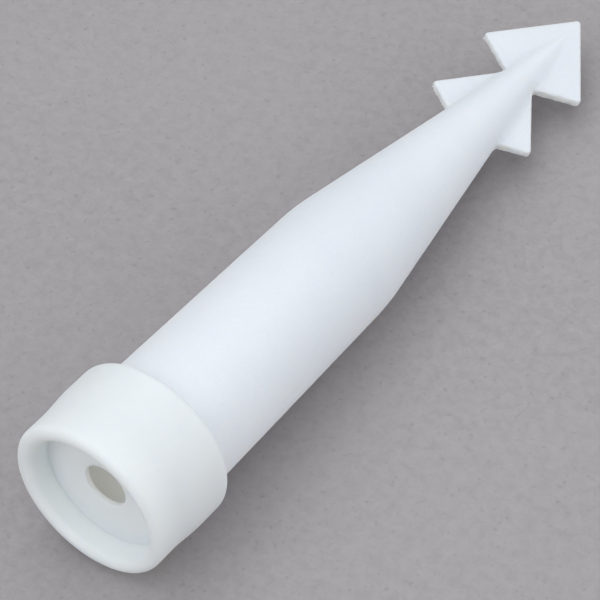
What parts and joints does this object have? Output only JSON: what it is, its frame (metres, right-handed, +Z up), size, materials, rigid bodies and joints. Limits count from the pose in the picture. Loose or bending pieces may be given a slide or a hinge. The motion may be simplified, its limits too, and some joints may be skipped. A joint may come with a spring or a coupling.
{
  "type": "pneumatic muffler",
  "caption": "White porous exhaust muffler: hollow tube and long cone ending in a flat barbed blade, with a soft push-on collar that has a front socket and an inlet port.",
  "frame": {"origin": "centre of the bounding box's base, on the floor that the muffler lies on", "axes": "+Y runs along the floor under the muffler's axis, from the collar to the tip, +Z is up and +X is to the right seen from the collar. The axis itself slopes down towards the tip by 3.72 degrees, because the muffler lies on the collar's rear shoulder and its own shoulder; the blade is rolled 13.5 degrees about the axis, +X side down."},
  "size_m": [0.0322, 0.1572, 0.0326],
  "materials": {
    "collar_elastomer": "smooth milky white elastomer, satin, slightly translucent",
    "porous_plastic": "matt powdery sintered white plastic with a fine grain"
  },
  "bodies": {
    "element": {"porous_tube": "porous_plastic", "nose_cone": "porous_plastic", "barbed_tip": "porous_plastic"},
    "collar": {"mounting_collar": "collar_elastomer"}
  },
  "joints": [
    {"name": "collar_pull", "type": "slide", "parent": "element", "child": "collar", "axis": [0, -0.9979, 0.0649], "range_m": [0, 0.016]}
  ]
}
